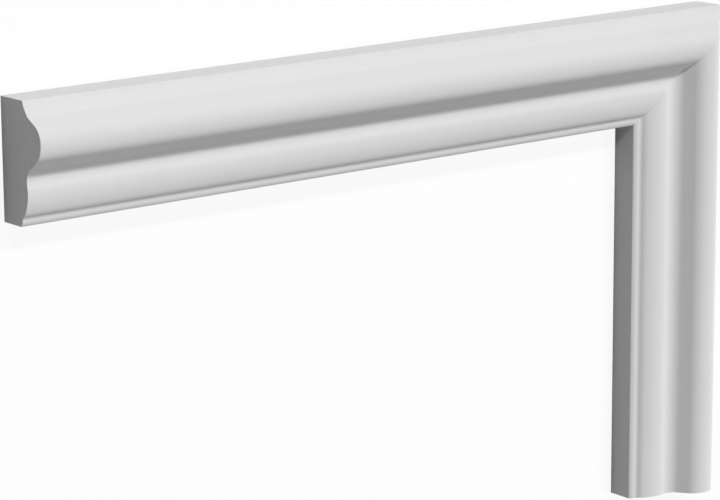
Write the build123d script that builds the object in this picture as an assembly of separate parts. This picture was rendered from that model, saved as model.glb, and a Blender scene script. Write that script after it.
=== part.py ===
from build123d import *
import math
import os

# Two lengths of one panel moulding, mitred into an outside corner of a wall frame.
# The back lies on Z = 0 and the moulded face looks up, along +Z. The origin is the
# outer corner of the mitre. The long leg runs along +X and the short leg along +Y.

# Legs, measured along the outer edge from the corner
LONG_LEG_LENGTH = 300.0
SHORT_LEG_LENGTH = 180.0
CORNER_ANGLE = 90.0

# Widths of the section's members, from the outer edge to the inner edge
CAVETTO_WIDTH = 5.05
TORUS_RISE_WIDTH = 7.2
CROWN_WIDTH = 2.95
TORUS_FALL_WIDTH = 10.25
HOLLOW_WIDTH = 3.2
OVOLO_WIDTH = 6.5
NOSE_WIDTH = 2.15
LIP_WIDTH = 2.7

# Heights of the same members, each one from the end of the member before it
OUTER_EDGE_HEIGHT = 12.2
CAVETTO_RISE = 3.1
TORUS_RISE = 6.7
CROWN_FALL = 0.45
TORUS_FALL = 7.95
HOLLOW_RISE = 0.4
OVOLO_FALL = 1.5
NOSE_FALL = 1.95
LIP_FALL = 0.95

# Curves of the members
CAVETTO_DEPTH = 0.36
TORUS_OUTER_STRAIGHT = 3.95
TORUS_INNER_STRAIGHT = 4.0
HOLLOW_STRAIGHT = 0.8
COVE_RADIUS = 5.5
QUIRK_RADIUS = 1.3
LIP_BULGE = 0.32


def bend_and_straight(run, drop, straight, hollow_radius=0.0, slope=0.0):
    """Radius of a bend that starts at a slope, and the slope of the straight that it runs into.

    The bend, the straight and the hollow's arc, which ends level, cover the run and the drop.
    The slopes are in radians.
    """
    lever = drop * math.cos(slope) - run * math.sin(slope) + hollow_radius * (1 - math.cos(slope))
    radius = (run**2 + drop**2 - straight**2 - 2 * drop * hollow_radius) / (2 * lever)
    level_run = run + radius * math.sin(slope)
    level_drop = drop + radius * (1 - math.cos(slope))
    both_radii = radius + hollow_radius
    flank = math.atan2(level_run, both_radii - level_drop) - math.atan2(straight, both_radii)
    return radius, flank


def fall_to_hollow(start, way, hollow, straight, hollow_radius):
    """Bend that leaves the start along a way, a straight flank, and an arc level at the hollow."""
    side = math.copysign(1, way.X)
    slope = math.atan2(-way.Y, abs(way.X))
    run = abs(hollow.X - start.X)
    radius, flank = bend_and_straight(run, start.Y - hollow.Y, straight, hollow_radius, slope)
    turn = Vector(side * (math.sin(flank) - math.sin(slope)), math.cos(flank) - math.cos(slope))
    flank_top = start + turn * radius
    flank_foot = hollow - Vector(side * math.sin(flank), math.cos(flank) - 1) * hollow_radius
    flank_way = Vector(side * math.cos(flank), -math.sin(flank))
    return [
        TangentArc(start, flank_top, tangent=way),
        Line(flank_top, flank_foot),
        TangentArc(flank_foot, hollow, tangent=flank_way),
    ]


def arris_to_crest(arris, crest, straight):
    """Straight flank that leaves the arris and an arc that ends level at the crest."""
    radius, flank = bend_and_straight(crest.X - arris.X, crest.Y - arris.Y, straight)
    flank_top = crest - Vector(math.sin(flank), 1 - math.cos(flank)) * radius
    return [
        Line(arris, flank_top),
        TangentArc(crest, flank_top, tangent=(-1, 0)),
    ]


def section():
    """Closed outline of the moulding: X is across it from the outer edge, Y is off the wall."""
    outer_foot = Vector(0, 0)
    outer_top = outer_foot + Vector(0, OUTER_EDGE_HEIGHT)
    arris = outer_top + Vector(CAVETTO_WIDTH, CAVETTO_RISE)
    torus_crest = arris + Vector(TORUS_RISE_WIDTH, TORUS_RISE)
    shoulder = torus_crest + Vector(CROWN_WIDTH, -CROWN_FALL)
    hollow = shoulder + Vector(TORUS_FALL_WIDTH, -TORUS_FALL)
    ovolo_crest = hollow + Vector(HOLLOW_WIDTH, HOLLOW_RISE)
    nose_top = ovolo_crest + Vector(OVOLO_WIDTH, -OVOLO_FALL)
    quirk = nose_top + Vector(NOSE_WIDTH, -NOSE_FALL)
    inner_top = quirk + Vector(LIP_WIDTH, -LIP_FALL)
    inner_foot = Vector(inner_top.X, 0)
    crown = TangentArc(torus_crest, shoulder, tangent=(1, 0))
    ovolo = TangentArc(ovolo_crest, nose_top, tangent=(1, 0))
    outline = [
        SagittaArc(outer_top, arris, -CAVETTO_DEPTH),
        *arris_to_crest(arris, torus_crest, TORUS_OUTER_STRAIGHT),
        crown,
        *fall_to_hollow(shoulder, crown % 1, hollow, TORUS_INNER_STRAIGHT, COVE_RADIUS),
        *fall_to_hollow(ovolo_crest, Vector(-1, 0), hollow, HOLLOW_STRAIGHT, COVE_RADIUS),
        ovolo,
        TangentArc(nose_top, quirk, tangent=ovolo % 1),
        SagittaArc(quirk, inner_top, LIP_BULGE),
        Line(inner_top, inner_foot),
        Line(inner_foot, outer_foot),
        Line(outer_foot, outer_top),
    ]
    face = make_face(outline)
    return fillet(face.vertices().sort_by_distance(quirk)[0], QUIRK_RADIUS)


def mitre_plane():
    """Upright plane through the corner that halves the corner angle."""
    half = math.radians(CORNER_ANGLE / 2)
    return Plane(origin=(0, 0, 0), x_dir=(0, 0, 1), z_dir=(math.sin(half), -math.cos(half), 0))


def leg(length):
    """A length of the moulding along +X, cut square at its end and mitred at the corner."""
    across_the_leg = Plane(origin=(0, 0, 0), x_dir=(0, 1, 0), z_dir=(1, 0, 0))
    stock = extrude(across_the_leg * section(), amount=length)
    return split(stock, bisect_by=mitre_plane(), keep=Keep.TOP)


os.makedirs("parts", exist_ok=True)
long_leg = leg(LONG_LEG_LENGTH)
short_leg = mirror(leg(SHORT_LEG_LENGTH), about=mitre_plane())
export_step(long_leg, "parts/long_leg.step")
export_step(short_leg, "parts/short_leg.step")
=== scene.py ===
import math

import bpy
import numpy as np
from bpy.props import FloatProperty, FloatVectorProperty, PointerProperty
from mathutils import Euler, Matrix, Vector


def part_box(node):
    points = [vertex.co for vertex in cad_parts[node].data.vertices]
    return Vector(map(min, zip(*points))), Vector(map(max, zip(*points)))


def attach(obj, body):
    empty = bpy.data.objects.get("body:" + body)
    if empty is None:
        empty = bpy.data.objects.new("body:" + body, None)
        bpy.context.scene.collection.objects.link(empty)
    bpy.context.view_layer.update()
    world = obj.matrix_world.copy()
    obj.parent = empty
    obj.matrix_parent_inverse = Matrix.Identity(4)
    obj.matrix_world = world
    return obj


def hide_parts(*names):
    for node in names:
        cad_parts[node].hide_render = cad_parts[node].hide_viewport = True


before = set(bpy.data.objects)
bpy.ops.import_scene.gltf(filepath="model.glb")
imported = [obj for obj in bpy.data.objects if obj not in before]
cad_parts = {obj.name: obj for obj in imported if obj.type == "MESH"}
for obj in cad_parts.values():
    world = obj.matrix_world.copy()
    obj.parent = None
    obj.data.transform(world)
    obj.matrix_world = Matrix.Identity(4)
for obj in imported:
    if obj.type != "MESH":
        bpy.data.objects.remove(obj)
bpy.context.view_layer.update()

bl_info = {
    "name": "Panel moulding corner",
    "version": (1, 0, 0),
    "blender": (4, 5, 0),
    "location": "3D View > Sidebar > Moulding",
    "description": "Models a mitred corner of primed panel moulding on a plain studio stage",
    "category": "Object",
}

# One millimetre in the scene's metres
MM = 0.001

# Names that the mesh and its material share
GIRTH_MAP = "Girth"
BARE_FOAM = "bare_foam"

# Mesh density
STEPS_PER_CURVE = 24
STEPS_PER_STRAIGHT = 6
STEPS_PER_CORNER = 6
STATIONS_ALONG = 48
STATIONS_PER_CUT = 5
SMALLEST_CORNER = math.radians(2)

# Share of a leg's length before which a station belongs to the mitre and not to the sawn end
HALFWAY = 0.5

# Sizes of the finish's patterns. The orange peel and the mould lines are drawn about twice as coarse
# as sprayed primer has them, so that they show at all in a picture of the whole corner.
COAT_CLOUD = 24 * MM
ORANGE_PEEL = 0.9 * MM
ORANGE_PEEL_HEIGHT = 0.002 * MM
MOULD_LINE_LENGTH = 90 * MM
MOULD_LINE_WIDTH = 0.8 * MM
MOULD_LINE_HEIGHT = 0.001 * MM
FOAM_CELL = 0.6 * MM
FOAM_CELL_DEPTH = 0.02 * MM
SAW_MARK_WIDTH = 0.9 * MM
SAW_MARK_LENGTH = 25 * MM
SAW_MARK_DEPTH = 0.01 * MM

# How finely the patterns break up
CLOUD_DETAIL = 3.0
RELIEF_DETAIL = 2.0

# Gloss of matt primer and of bare foam, and how matt the scatter of light under that gloss is
PRIMER_ROUGHNESS = (0.55, 0.66)
FOAM_ROUGHNESS = 0.85
PRIMER_SPECULAR_LEVEL = 0.2
PRIMER_DIFFUSE_ROUGHNESS = 0.5

WHITE = (1, 1, 1, 1)

# Sockets of the Mix node when it mixes colours or numbers
MIX_FACTOR, MIX_A, MIX_B, MIX_RESULT = 0, 6, 7, 2
MIX_NUMBER_A, MIX_NUMBER_B, MIX_NUMBER_RESULT = 2, 3, 0

# The photo's camera: the picture's upright is close to -Y, because the long leg is its upper rail
CAMERA_PLACE = (0.81511, -0.17203, 0.82229)
CAMERA_TURN_DEGREES = (-12.6628, -38.6961, 179.5356)
CAMERA_LENS_MM = 158.449
CAMERA_SENSOR_MM = 36.0

# Lamps: the way from the moulding to each one, and how wide it looks from there
KEY_WAY = (-0.18, -0.68, 0.71)
SIDE_WAY = (0.18, -0.68, 0.71)
FILL_WAY = (-0.52, 0.09, 0.85)
KEY_SPREAD = math.radians(6)
FILL_SPREAD = math.radians(20)

# Floor: its half width, its place just under the back, and how much of its look is its shadow
FLOOR_HALF_WIDTH = 4.0
FLOOR_GAP = 0.02 * MM
FLOOR_SHADOW_SHARE = 0.1


def linear(hex_colour):
    """Linear RGB of an sRGB colour written as #RRGGBB."""
    srgb = np.array([int(hex_colour[i : i + 2], 16) for i in (1, 3, 5)]) / 255
    low = srgb / 12.92
    high = ((srgb + 0.055) / 1.055) ** 2.4
    return tuple(np.where(srgb <= 0.04045, low, high).tolist())


def length(name, size_mm, words):
    """A length property whose default is given in millimetres."""
    return FloatProperty(
        name=name, description=words, default=size_mm * MM, min=0, precision=5, unit="LENGTH"
    )


def colour(name, hex_colour, words):
    """A colour property whose default is given as an sRGB hex value."""
    return FloatVectorProperty(
        name=name, description=words, default=linear(hex_colour), min=0, max=1, subtype="COLOR"
    )


def strength(name, level, words):
    """A light level property."""
    return FloatProperty(name=name, description=words, default=level, min=0, precision=3)


class MouldingSection(bpy.types.PropertyGroup):
    """Sizes of the section, from its outer edge to its inner edge"""

    outer_edge_height: length("Outer edge height", 12.2, "Height of the outer edge off the wall")
    cavetto_width: length("Cavetto width", 5.05, "Width of the shallow hollow beside the outer edge")
    cavetto_rise: length("Cavetto rise", 3.1, "Rise of that hollow to the foot of the torus")
    cavetto_depth: length("Cavetto depth", 0.36, "Depth of that hollow below its chord")
    torus_rise_width: length("Torus rise width", 7.2, "Width from the foot of the torus to its crest")
    torus_rise: length("Torus rise", 6.7, "Rise from the foot of the torus to its crest")
    torus_outer_straight: length("Torus outer straight", 3.95, "Straight part of its outer flank")
    crown_width: length("Crown width", 2.95, "Width of the torus's flatter crown, from its crest inwards")
    crown_fall: length("Crown fall", 0.45, "Fall of that crown")
    torus_fall_width: length("Torus fall width", 10.25, "Width from the torus's crown to the cove")
    torus_fall: length("Torus fall", 7.95, "Fall from the torus's crown to the cove")
    torus_inner_straight: length("Torus inner straight", 4.0, "Straight part of its inner flank")
    cove_radius: length("Cove radius", 5.5, "Radius of the cove between the torus and the ovolo")
    hollow_width: length("Hollow width", 3.2, "Width from the cove's bottom to the ovolo's crest")
    hollow_rise: length("Hollow rise", 0.4, "Rise from the cove's bottom to the ovolo's crest")
    hollow_straight: length("Hollow straight", 0.8, "Straight part of that rise")
    ovolo_width: length("Ovolo width", 6.5, "Width from the ovolo's crest to its nose")
    ovolo_fall: length("Ovolo fall", 1.5, "Fall from the ovolo's crest to its nose")
    nose_width: length("Nose width", 2.15, "Width of the ovolo's tighter nose")
    nose_fall: length("Nose fall", 1.95, "Fall of the ovolo's nose to the quirk")
    quirk_radius: length("Quirk radius", 1.3, "Radius of the hollow at an inner corner")
    lip_width: length("Lip width", 2.7, "Width of the lip at the inner edge")
    lip_fall: length("Lip fall", 0.95, "Fall of the lip to the inner edge")
    lip_bulge: length("Lip bulge", 0.32, "Height of the lip above its chord")
    arris_ease: length("Arris ease", 0.15, "How far back an outer arris is rounded")
    cut_ease: length("Cut ease", 0.05, "Rounding of the edge of a sawn end")
    mitre_ease: length("Mitre ease", 0.015, "Rounding of the edges that meet at the mitre")


class MouldingFinish(bpy.types.PropertyGroup):
    """Colours of the moulding's finish"""

    primer: colour("Primer", "#EAEAEA", "Sprayed white primer on the face and the edges")
    primer_thin: colour("Thin primer", "#E7E7E7", "The primer where the coat is thinner")
    foam: colour("Foam", "#EAEAEA", "The white foam itself, on sawn ends and the back")
    # Painted shade: a darker colour for the bottoms of the foam's open cells, where shade falls
    foam_pit_shade: colour("Foam pit shade", "#DFDFDF", "The shaded bottom of the foam's open cells")


class MouldingStage(bpy.types.PropertyGroup):
    """Light and floor of the studio"""

    floor: colour("Floor", "#BCBCBC", "Plain pale floor")
    key: strength("Key lamp", 1.375, "Lamp in front of the long leg's outer edge")
    side: strength("Side lamp", 0.79, "Lamp beside the key lamp, towards the long leg's free end")
    fill: strength("Fill lamp", 1.16, "Softer lamp in front of the short leg's outer edge")
    ambient: strength("Ambient", 0.07, "Even light from all round")


def bend_and_straight(run, drop, straight, hollow_radius=0.0, slope=0.0):
    """Radius of a bend that starts at a slope, and the slope of the straight that it runs into.

    The bend, the straight and the hollow's arc, which ends level, cover the run and the drop. The radius
    is (run squared + drop squared - straight squared - 2 drop hollow radius), over twice (drop cos slope
    - run sin slope + hollow radius (1 - cos slope)). Carried back to where it is level, the bend covers
    more run and drop. The straight's slope is then the angle of the line across them, seen from the bend's
    centre, less the angle that the straight takes up.
    """
    lever = drop * math.cos(slope) - run * math.sin(slope) + hollow_radius * (1 - math.cos(slope))
    radius = (run**2 + drop**2 - straight**2 - 2 * drop * hollow_radius) / (2 * lever)
    level_run = run + radius * math.sin(slope)
    level_drop = drop + radius * (1 - math.cos(slope))
    both_radii = radius + hollow_radius
    return radius, math.atan2(level_run, both_radii - level_drop) - math.atan2(straight, both_radii)


def fall_to_hollow(start, hollow, straight, hollow_radius, slope=0.0):
    """Where a straight flank starts and ends between a bend and a hollow's arc, and its slope."""
    side = math.copysign(1, hollow[0] - start[0])
    run = abs(hollow[0] - start[0])
    radius, flank = bend_and_straight(run, start[1] - hollow[1], straight, hollow_radius, slope)
    turn = np.array([side * (math.sin(flank) - math.sin(slope)), math.cos(flank) - math.cos(slope)])
    rise = np.array([-side * math.sin(flank), 1 - math.cos(flank)])
    return start + turn * radius, hollow + rise * hollow_radius, flank


def bulge_turn(chord, bulge):
    """Half of the angle that an arc turns through: twice the arctangent of 2 bulge / chord."""
    return 2 * math.atan(2 * bulge / math.hypot(*chord))


def section_members(sizes):
    """The section as arcs and straights, up the outer edge, over the face and back along the wall.

    Each member is its start, its end and half of the angle that it turns through, left positive. A point
    is its distance from the outer edge and its height off the wall.
    """
    outer_foot = np.array([0.0, 0.0])
    outer_top = np.array([0.0, sizes.outer_edge_height])
    cavetto = np.array([sizes.cavetto_width, sizes.cavetto_rise])
    arris = outer_top + cavetto
    torus_crest = arris + [sizes.torus_rise_width, sizes.torus_rise]
    crown = np.array([sizes.crown_width, -sizes.crown_fall])
    shoulder = torus_crest + crown
    hollow = shoulder + [sizes.torus_fall_width, -sizes.torus_fall]
    ovolo_crest = hollow + [sizes.hollow_width, sizes.hollow_rise]
    ovolo = np.array([sizes.ovolo_width, -sizes.ovolo_fall])
    nose = np.array([sizes.nose_width, -sizes.nose_fall])
    lip = np.array([sizes.lip_width, -sizes.lip_fall])
    nose_top = ovolo_crest + ovolo
    quirk = nose_top + nose
    inner_top = quirk + lip
    inner_foot = np.array([inner_top[0], 0.0])

    radius, rise_slope = bend_and_straight(
        sizes.torus_rise_width, sizes.torus_rise, sizes.torus_outer_straight
    )
    flank_top = torus_crest - radius * np.array([math.sin(rise_slope), 1 - math.cos(rise_slope)])
    crown_turn = math.atan2(crown[1], crown[0])
    fall_top, fall_foot, fall_slope = fall_to_hollow(
        shoulder, hollow, sizes.torus_inner_straight, sizes.cove_radius, -2 * crown_turn
    )
    back_top, back_foot, back_slope = fall_to_hollow(
        ovolo_crest, hollow, sizes.hollow_straight, sizes.cove_radius
    )
    ovolo_turn = math.atan2(ovolo[1], ovolo[0])
    nose_turn = math.atan2(nose[1], nose[0]) - 2 * ovolo_turn
    return [
        (outer_foot, outer_top, 0.0),
        (outer_top, arris, bulge_turn(cavetto, sizes.cavetto_depth)),
        (arris, flank_top, 0.0),
        (flank_top, torus_crest, -rise_slope / 2),
        (torus_crest, shoulder, crown_turn),
        (shoulder, fall_top, -fall_slope / 2 - crown_turn),
        (fall_top, fall_foot, 0.0),
        (fall_foot, hollow, fall_slope / 2),
        (hollow, back_foot, back_slope / 2),
        (back_foot, back_top, 0.0),
        (back_top, ovolo_crest, -back_slope / 2),
        (ovolo_crest, nose_top, ovolo_turn),
        (nose_top, quirk, nose_turn),
        (quirk, inner_top, -bulge_turn(lip, sizes.lip_bulge)),
        (inner_top, inner_foot, 0.0),
        (inner_foot, outer_foot, 0.0),
    ]


def arc(member, parameter):
    """Points and headings of a member at parameters from 0 to 1.

    The chord from the start grows as sin(half turn t) / sin(half turn) and lags by half turn (1 - t),
    while the heading runs from half a turn before the chord's to half a turn after it. A half turn of 0
    is a straight.
    """
    start, end, half_turn = member
    chord = end - start
    t = np.asarray(parameter, float)
    grown = np.sin(half_turn * t) / math.sin(half_turn) if half_turn else t
    way = math.atan2(chord[1], chord[0]) + half_turn * (t - 1)
    reach = math.hypot(*chord) * grown
    points = start + np.stack([reach * np.cos(way), reach * np.sin(way)], axis=1)
    return points, way + half_turn * t


def arc_length(member):
    """Length of a member: its chord times the half turn over the sine of the half turn."""
    start, end, half_turn = member
    return math.dist(start, end) * (half_turn / math.sin(half_turn) if half_turn else 1)


def eased_section(sizes):
    """Closed outline with every corner eased: its points, its outward normals, and the face's count.

    Each member is shortened by the ease of the corners at its ends, and an arc that turns through the
    corner's angle joins two shortened ends. At an inner corner the ease is the quirk's radius times the
    tangent of half the corner's angle. The back has as many points as the rest of the outline, so that a
    cut can be ruled between them.
    """
    members = section_members(sizes)
    count = len(members)
    headings = [arc(member, [0, 1])[1] for member in members]
    eases = []
    for i in range(count):
        corner = math.remainder(headings[i][0] - headings[i - 1][1], math.tau)
        ease = sizes.arris_ease if corner < 0 else sizes.quirk_radius * math.tan(corner / 2)
        eases.append(ease if abs(corner) > SMALLEST_CORNER else 0.0)
    spans = []
    for i, member in enumerate(members):
        size = arc_length(member)
        spans.append((eases[i] / size, 1 - eases[(i + 1) % count] / size))

    runs = []
    face_count = 1
    for i, member in enumerate(members):
        if eases[i]:
            before, heading_before = arc(members[i - 1], [spans[i - 1][1]])
            after, heading_after = arc(member, [spans[i][0]])
            turn = math.remainder(heading_after[0] - heading_before[0], math.tau)
            steps = np.linspace(0, 1, STEPS_PER_CORNER, endpoint=False)
            corner_points, _ = arc((before[0], after[0], turn / 2), steps)
            runs.append((corner_points, heading_before[0] + turn * steps))
            face_count += len(steps)
        on_back = i == count - 1
        curve_steps = STEPS_PER_CURVE if member[2] else STEPS_PER_STRAIGHT
        steps = np.linspace(*spans[i], face_count - 1 if on_back else curve_steps, endpoint=False)
        runs.append(arc(member, steps))
        face_count += 0 if on_back else len(steps)
    points = np.concatenate([run[0] for run in runs])
    heading = np.concatenate([run[1] for run in runs])
    return points, np.stack([-np.sin(heading), np.cos(heading)], axis=1), face_count


def stations(sizes):
    """Share of the leg's length, tilt of a cut's rounding and ease of that cut, for each station.

    The first stations round the edge of the mitre and the last ones the edge of the sawn end. There the
    tilt runs between a quarter turn, in the cut's plane, and zero, on the leg's own surface.
    """
    rounding = np.linspace(0, math.pi / 2, STATIONS_PER_CUT)
    along = np.linspace(0, 1, STATIONS_ALONG)
    share = np.concatenate([np.zeros(STATIONS_PER_CUT - 1), along, np.ones(STATIONS_PER_CUT - 1)])
    tilt = np.concatenate([rounding[:0:-1], np.zeros(STATIONS_ALONG), rounding[1:]])
    ease = np.where(share < HALFWAY, sizes.mitre_ease, sizes.cut_ease)
    return share[:, None], tilt[:, None], ease[:, None]


def leg_surface(sizes, leg_length):
    """Points and normals of a leg along +X with its outer edge on Y = 0, stations by outline.

    The section is carried along the leg from the mitre plane X = Y to the square cut X = length, so that
    X = (1 - share) (Y + gap) + share (length - gap). At a cut the outline shrinks along its normal by
    ease (1 - cos tilt) while the gap to the cut is ease (1 - sin tilt), which rounds the edge.
    """
    outline, outward, face_count = eased_section(sizes)
    share, tilt, ease = stations(sizes)
    shrink = ease * (1 - np.cos(tilt))
    gap = ease * (1 - np.sin(tilt))
    across = outline[:, 0] - shrink * outward[:, 0]
    height = outline[:, 1] - shrink * outward[:, 1]
    along = (1 - share) * (across + gap) + share * (leg_length - gap)
    points = np.stack([along, across, height], axis=2)

    side_way = np.insert(outward, 0, 0, axis=1)
    mitre_way = np.array([-1, 1, 0]) / math.sqrt(2)
    end_way = np.array([1, 0, 0])
    cut_way = np.where(share < HALFWAY, mitre_way, end_way)[:, None, :]
    normals = np.cos(tilt)[:, :, None] * side_way + np.sin(tilt)[:, :, None] * cut_way
    normals /= np.linalg.norm(normals, axis=2, keepdims=True)

    steps = np.linalg.norm(np.diff(outline, axis=0, prepend=outline[:1]), axis=1)
    return points, normals, np.cumsum(steps), face_count


def leg_faces(station_count, outline_count, face_count):
    """Quads between stations and, on both cuts, the rulings between the face and the back.

    On a cut, point j of the face pairs with point j of the back counted the other way round, and the
    two end rulings are triangles.
    """
    station = np.arange(station_count - 1)[:, None] * outline_count
    here = station + np.arange(outline_count)
    after = station + (np.arange(outline_count) + 1) % outline_count
    swept = np.stack([here, here + outline_count, after + outline_count, after], axis=2).reshape(-1, 4)

    face = np.arange(1, face_count - 2)
    rulings = np.stack([face, outline_count - face, outline_count - face - 1, face + 1], axis=1)
    tips = np.array([[0, outline_count - 1, 1], [face_count - 2, face_count, face_count - 1]])
    last = (station_count - 1) * outline_count
    quads = np.concatenate([swept, rulings + last, rulings[:, ::-1]])
    triangles = np.concatenate([tips + last, tips[:, ::-1]])
    return quads, triangles


def leg_mesh(name, sizes, leg_length, along_y):
    """Mesh of one leg with exact normals, a map of its length and girth, and a mask of bare foam.

    The leg along +Y is the leg along +X with X and Y swapped, so its faces turn the other way.
    """
    points, normals, girth, face_count = leg_surface(sizes, leg_length)
    station_count, outline_count = points.shape[:2]
    quads, triangles = leg_faces(station_count, outline_count, face_count)
    points = points.reshape(-1, 3)
    normals = normals.reshape(-1, 3)
    along = points[:, 0]
    if along_y:
        points = points[:, [1, 0, 2]]
        normals = normals[:, [1, 0, 2]]
        quads = quads[:, ::-1]
        triangles = triangles[:, ::-1]

    mesh = bpy.data.meshes.new(name)
    mesh.from_pydata(points.tolist(), [], quads.tolist() + triangles.tolist())
    if mesh.validate():
        raise RuntimeError(f"{name} has faces that can't be used")
    mesh.polygons.foreach_set("use_smooth", np.ones(len(mesh.polygons), bool))
    mesh.normals_split_custom_set_from_vertices(normals.tolist())

    corner = np.empty(len(mesh.loops), np.int32)
    mesh.loops.foreach_get("vertex_index", corner)
    girth_map = mesh.uv_layers.new(name=GIRTH_MAP)
    length_and_girth = np.stack([along[corner], girth[corner % outline_count]], axis=1)
    girth_map.uv.foreach_set("vector", length_and_girth.astype(np.float32).ravel())

    vertex = np.arange(len(points))
    on_back = vertex % outline_count >= face_count
    on_cut = np.isin(vertex // outline_count, (0, station_count - 1))
    bare = mesh.attributes.new(BARE_FOAM, "FLOAT", "POINT")
    bare.data.foreach_set("value", (on_back | on_cut).astype(np.float32))
    return mesh


def add_node(tree, kind, inputs=None, **settings):
    """Add a node, set its attributes, and give its inputs values or links from other sockets."""
    node = tree.nodes.new(kind)
    for key, value in settings.items():
        setattr(node, key, value)
    for key, value in (inputs or {}).items():
        if isinstance(value, bpy.types.NodeSocket):
            tree.links.new(value, node.inputs[key])
        else:
            node.inputs[key].default_value = value
    return node


def empty_tree(owner):
    """The node tree of a material or a world, with nothing in it."""
    owner.use_nodes = True
    owner.node_tree.nodes.clear()
    return owner.node_tree


def primed_foam(finish):
    """Rigid polyurethane foam with a dense moulded skin, sprayed with a matt white primer."""
    # The eye sees an even soft white without grain. Up close the dried spray has a fine orange peel,
    # the skin has faint lines along its length from the mould, and the sawn ends and the back show
    # saw marks and the foam's small cells.
    material = bpy.data.materials.new("primed_polyurethane_foam_sprayed")
    tree = empty_tree(material)
    place = add_node(tree, "ShaderNodeTexCoord").outputs["Object"]
    girth = add_node(tree, "ShaderNodeUVMap", uv_map=GIRTH_MAP).outputs["UV"]
    bare = add_node(tree, "ShaderNodeAttribute", attribute_name=BARE_FOAM).outputs["Fac"]

    # Clouds where the coat is a little thinner and glossier
    coat = add_node(
        tree,
        "ShaderNodeTexNoise",
        {"Vector": place, "Scale": 1 / COAT_CLOUD, "Detail": CLOUD_DETAIL},
    )
    primer = add_node(
        tree,
        "ShaderNodeMix",
        {MIX_FACTOR: coat.outputs["Fac"], MIX_A: (*finish.primer_thin, 1), MIX_B: (*finish.primer, 1)},
        data_type="RGBA",
    )
    primer_gloss = add_node(
        tree,
        "ShaderNodeMapRange",
        {"Value": coat.outputs["Fac"], "To Min": PRIMER_ROUGHNESS[0], "To Max": PRIMER_ROUGHNESS[1]},
    )

    # Open cells of the foam, with painted shade: the colour is darker in the middle of each cell, where a
    # pit's bottom would lie in shade, and paler at the rims
    cells = add_node(tree, "ShaderNodeTexVoronoi", {"Vector": place, "Scale": 1 / FOAM_CELL})
    foam = add_node(
        tree,
        "ShaderNodeMix",
        {MIX_FACTOR: cells.outputs["Distance"], MIX_A: (*finish.foam_pit_shade, 1), MIX_B: (*finish.foam, 1)},
        data_type="RGBA",
    )
    surface_colour = add_node(
        tree,
        "ShaderNodeMix",
        {MIX_FACTOR: bare, MIX_A: primer.outputs[MIX_RESULT], MIX_B: foam.outputs[MIX_RESULT]},
        data_type="RGBA",
    )
    surface_gloss = add_node(
        tree,
        "ShaderNodeMix",
        {MIX_FACTOR: bare, MIX_NUMBER_A: primer_gloss.outputs["Result"], MIX_NUMBER_B: FOAM_ROUGHNESS},
        data_type="FLOAT",
    )

    # Relief of the primed skin: orange peel on top of the mould's lines
    peel = add_node(
        tree,
        "ShaderNodeTexNoise",
        {"Vector": place, "Scale": 1 / ORANGE_PEEL, "Detail": RELIEF_DETAIL},
    )
    stretched = add_node(
        tree,
        "ShaderNodeMapping",
        {"Vector": girth, "Scale": (1 / MOULD_LINE_LENGTH, 1 / MOULD_LINE_WIDTH, 1.0)},
    )
    lines = add_node(
        tree,
        "ShaderNodeTexNoise",
        {"Vector": stretched.outputs["Vector"], "Scale": 1.0, "Detail": RELIEF_DETAIL},
    )
    relief = add_node(
        tree,
        "ShaderNodeBump",
        {"Height": lines.outputs["Fac"], "Strength": 1.0, "Distance": MOULD_LINE_HEIGHT},
    )
    relief = add_node(
        tree,
        "ShaderNodeBump",
        {
            "Height": peel.outputs["Fac"],
            "Strength": 1.0,
            "Distance": ORANGE_PEEL_HEIGHT,
            "Normal": relief.outputs["Normal"],
        },
    )

    # Relief of the bare foam: cells and saw marks, only where the mask says so
    upright = add_node(
        tree,
        "ShaderNodeMapping",
        {"Vector": place, "Scale": (1 / SAW_MARK_WIDTH, 1 / SAW_MARK_WIDTH, 1 / SAW_MARK_LENGTH)},
    )
    marks = add_node(
        tree,
        "ShaderNodeTexNoise",
        {"Vector": upright.outputs["Vector"], "Scale": 1.0, "Detail": RELIEF_DETAIL},
    )
    for height, depth in (
        (marks.outputs["Fac"], SAW_MARK_DEPTH),
        (cells.outputs["Distance"], FOAM_CELL_DEPTH),
    ):
        relief = add_node(
            tree,
            "ShaderNodeBump",
            {"Height": height, "Strength": bare, "Distance": depth, "Normal": relief.outputs["Normal"]},
        )

    shader = add_node(
        tree,
        "ShaderNodeBsdfPrincipled",
        {
            "Base Color": surface_colour.outputs[MIX_RESULT],
            "Roughness": surface_gloss.outputs[MIX_NUMBER_RESULT],
            "Specular IOR Level": PRIMER_SPECULAR_LEVEL,
            "Diffuse Roughness": PRIMER_DIFFUSE_ROUGHNESS,
            "Normal": relief.outputs["Normal"],
        },
    )
    add_node(tree, "ShaderNodeOutputMaterial", {"Surface": shader.outputs["BSDF"]})
    return material


class MOULDING_OT_legs(bpy.types.Operator):
    """Model both mitred legs with eased arrises and a primed finish"""

    bl_idname = "moulding.legs"
    bl_label = "Mitred legs"

    def execute(self, context):
        sizes = context.scene.moulding_section
        material = primed_foam(context.scene.moulding_finish)
        for node, axis in (("long_leg", 0), ("short_leg", 1)):
            mesh = leg_mesh(node + "_moulding", sizes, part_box(node)[1][axis], axis == 1)
            mesh.materials.append(material)
            piece = bpy.data.objects.new(mesh.name, mesh)
            context.scene.collection.objects.link(piece)
            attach(piece, "root")
            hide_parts(node)
        return {"FINISHED"}


def seen_straight(tree):
    """1 for rays that see a thing by eye, in a reflection or through glass, and 0 for its light."""
    ray = add_node(tree, "ShaderNodeLightPath").outputs
    seen = add_node(
        tree, "ShaderNodeMath", {0: ray["Is Camera Ray"], 1: ray["Is Glossy Ray"]}, operation="MAXIMUM"
    )
    seen = add_node(
        tree,
        "ShaderNodeMath",
        {0: seen.outputs["Value"], 1: ray["Is Transmission Ray"]},
        operation="MAXIMUM",
    )
    return seen.outputs["Value"]


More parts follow.
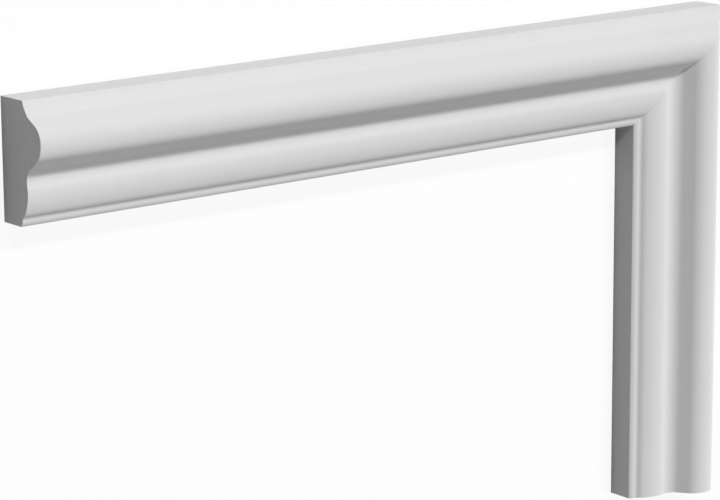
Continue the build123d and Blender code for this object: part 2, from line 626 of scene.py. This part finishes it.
def studio_floor(stage):
    """Plain pale matt paint. The eye sees it as white, with a faint shadow behind the moulding."""
    material = bpy.data.materials.new("studio_floor_matt_paint")
    tree = empty_tree(material)
    paint = add_node(tree, "ShaderNodeBsdfDiffuse", {"Color": (*stage.floor, 1)})
    white = add_node(tree, "ShaderNodeEmission", {"Color": WHITE, "Strength": 1.0})
    shadow = add_node(tree, "ShaderNodeBsdfDiffuse", {"Color": WHITE})
    seen = add_node(
        tree,
        "ShaderNodeMixShader",
        {0: FLOOR_SHADOW_SHARE, 1: white.outputs["Emission"], 2: shadow.outputs["BSDF"]},
    )
    surface = add_node(
        tree,
        "ShaderNodeMixShader",
        {0: seen_straight(tree), 1: paint.outputs["BSDF"], 2: seen.outputs["Shader"]},
    )
    add_node(tree, "ShaderNodeOutputMaterial", {"Surface": surface.outputs["Shader"]})
    return material


def studio_world(stage):
    """Even light from all round that is seen as white."""
    world = bpy.data.worlds.new("studio_world")
    tree = empty_tree(world)
    light = add_node(tree, "ShaderNodeBackground", {"Color": WHITE, "Strength": stage.ambient})
    white = add_node(tree, "ShaderNodeBackground", {"Color": WHITE, "Strength": 1.0})
    surface = add_node(
        tree,
        "ShaderNodeMixShader",
        {0: seen_straight(tree), 1: light.outputs["Background"], 2: white.outputs["Background"]},
    )
    add_node(tree, "ShaderNodeOutputWorld", {"Surface": surface.outputs["Shader"]})
    return world


class MOULDING_OT_stage(bpy.types.Operator):
    """Lay the floor and set the lamps and the photo's camera"""

    bl_idname = "moulding.stage"
    bl_label = "Studio stage"

    def execute(self, context):
        scene = context.scene
        stage = scene.moulding_stage
        scene.view_settings.view_transform = "Standard"
        scene.world = studio_world(stage)

        corners = FLOOR_HALF_WIDTH * np.array([(-1, -1, 0), (1, -1, 0), (1, 1, 0), (-1, 1, 0)])
        corners[:, 2] = -FLOOR_GAP
        mesh = bpy.data.meshes.new("studio_floor")
        mesh.from_pydata(corners.tolist(), [], [(0, 1, 2, 3)])
        mesh.materials.append(studio_floor(stage))
        floor = bpy.data.objects.new("studio_floor", mesh)
        scene.collection.objects.link(floor)

        for name, way, spread, level in (
            ("key_lamp", KEY_WAY, KEY_SPREAD, stage.key),
            ("side_lamp", SIDE_WAY, KEY_SPREAD, stage.side),
            ("fill_lamp", FILL_WAY, FILL_SPREAD, stage.fill),
        ):
            lamp = bpy.data.lights.new(name, "SUN")
            lamp.energy = level
            lamp.angle = spread
            holder = bpy.data.objects.new(name, lamp)
            holder.rotation_euler = Vector(way).to_track_quat("Z", "Y").to_euler()
            scene.collection.objects.link(holder)

        lens = bpy.data.cameras.new("photo_camera")
        lens.lens = CAMERA_LENS_MM
        lens.sensor_width = CAMERA_SENSOR_MM
        camera = bpy.data.objects.new("photo_camera", lens)
        camera.location = CAMERA_PLACE
        camera.rotation_euler = Euler([math.radians(turn) for turn in CAMERA_TURN_DEGREES])
        scene.collection.objects.link(camera)
        scene.camera = camera
        return {"FINISHED"}


class MOULDING_PT_sidebar(bpy.types.Panel):
    """Moulding tools in the 3D view's sidebar"""

    bl_idname = "MOULDING_PT_sidebar"
    bl_label = "Panel moulding corner"
    bl_space_type = "VIEW_3D"
    bl_region_type = "UI"
    bl_category = "Moulding"

    def draw(self, context):
        scene = context.scene
        for operator, settings in (
            (MOULDING_OT_legs, (scene.moulding_section, scene.moulding_finish)),
            (MOULDING_OT_stage, (scene.moulding_stage,)),
        ):
            box = self.layout.box()
            box.operator(operator.bl_idname)
            for group in settings:
                for name in group.__annotations__:
                    box.prop(group, name)


CLASSES = (
    MouldingSection,
    MouldingFinish,
    MouldingStage,
    MOULDING_OT_legs,
    MOULDING_OT_stage,
    MOULDING_PT_sidebar,
)


def register():
    for cls in CLASSES:
        bpy.utils.register_class(cls)
    bpy.types.Scene.moulding_section = PointerProperty(type=MouldingSection)
    bpy.types.Scene.moulding_finish = PointerProperty(type=MouldingFinish)
    bpy.types.Scene.moulding_stage = PointerProperty(type=MouldingStage)


def unregister():
    del bpy.types.Scene.moulding_stage
    del bpy.types.Scene.moulding_finish
    del bpy.types.Scene.moulding_section
    for cls in reversed(CLASSES):
        bpy.utils.unregister_class(cls)


def main():
    register()
    bpy.ops.moulding.legs()
    bpy.ops.moulding.stage()


if __name__ == "__main__":
    main()
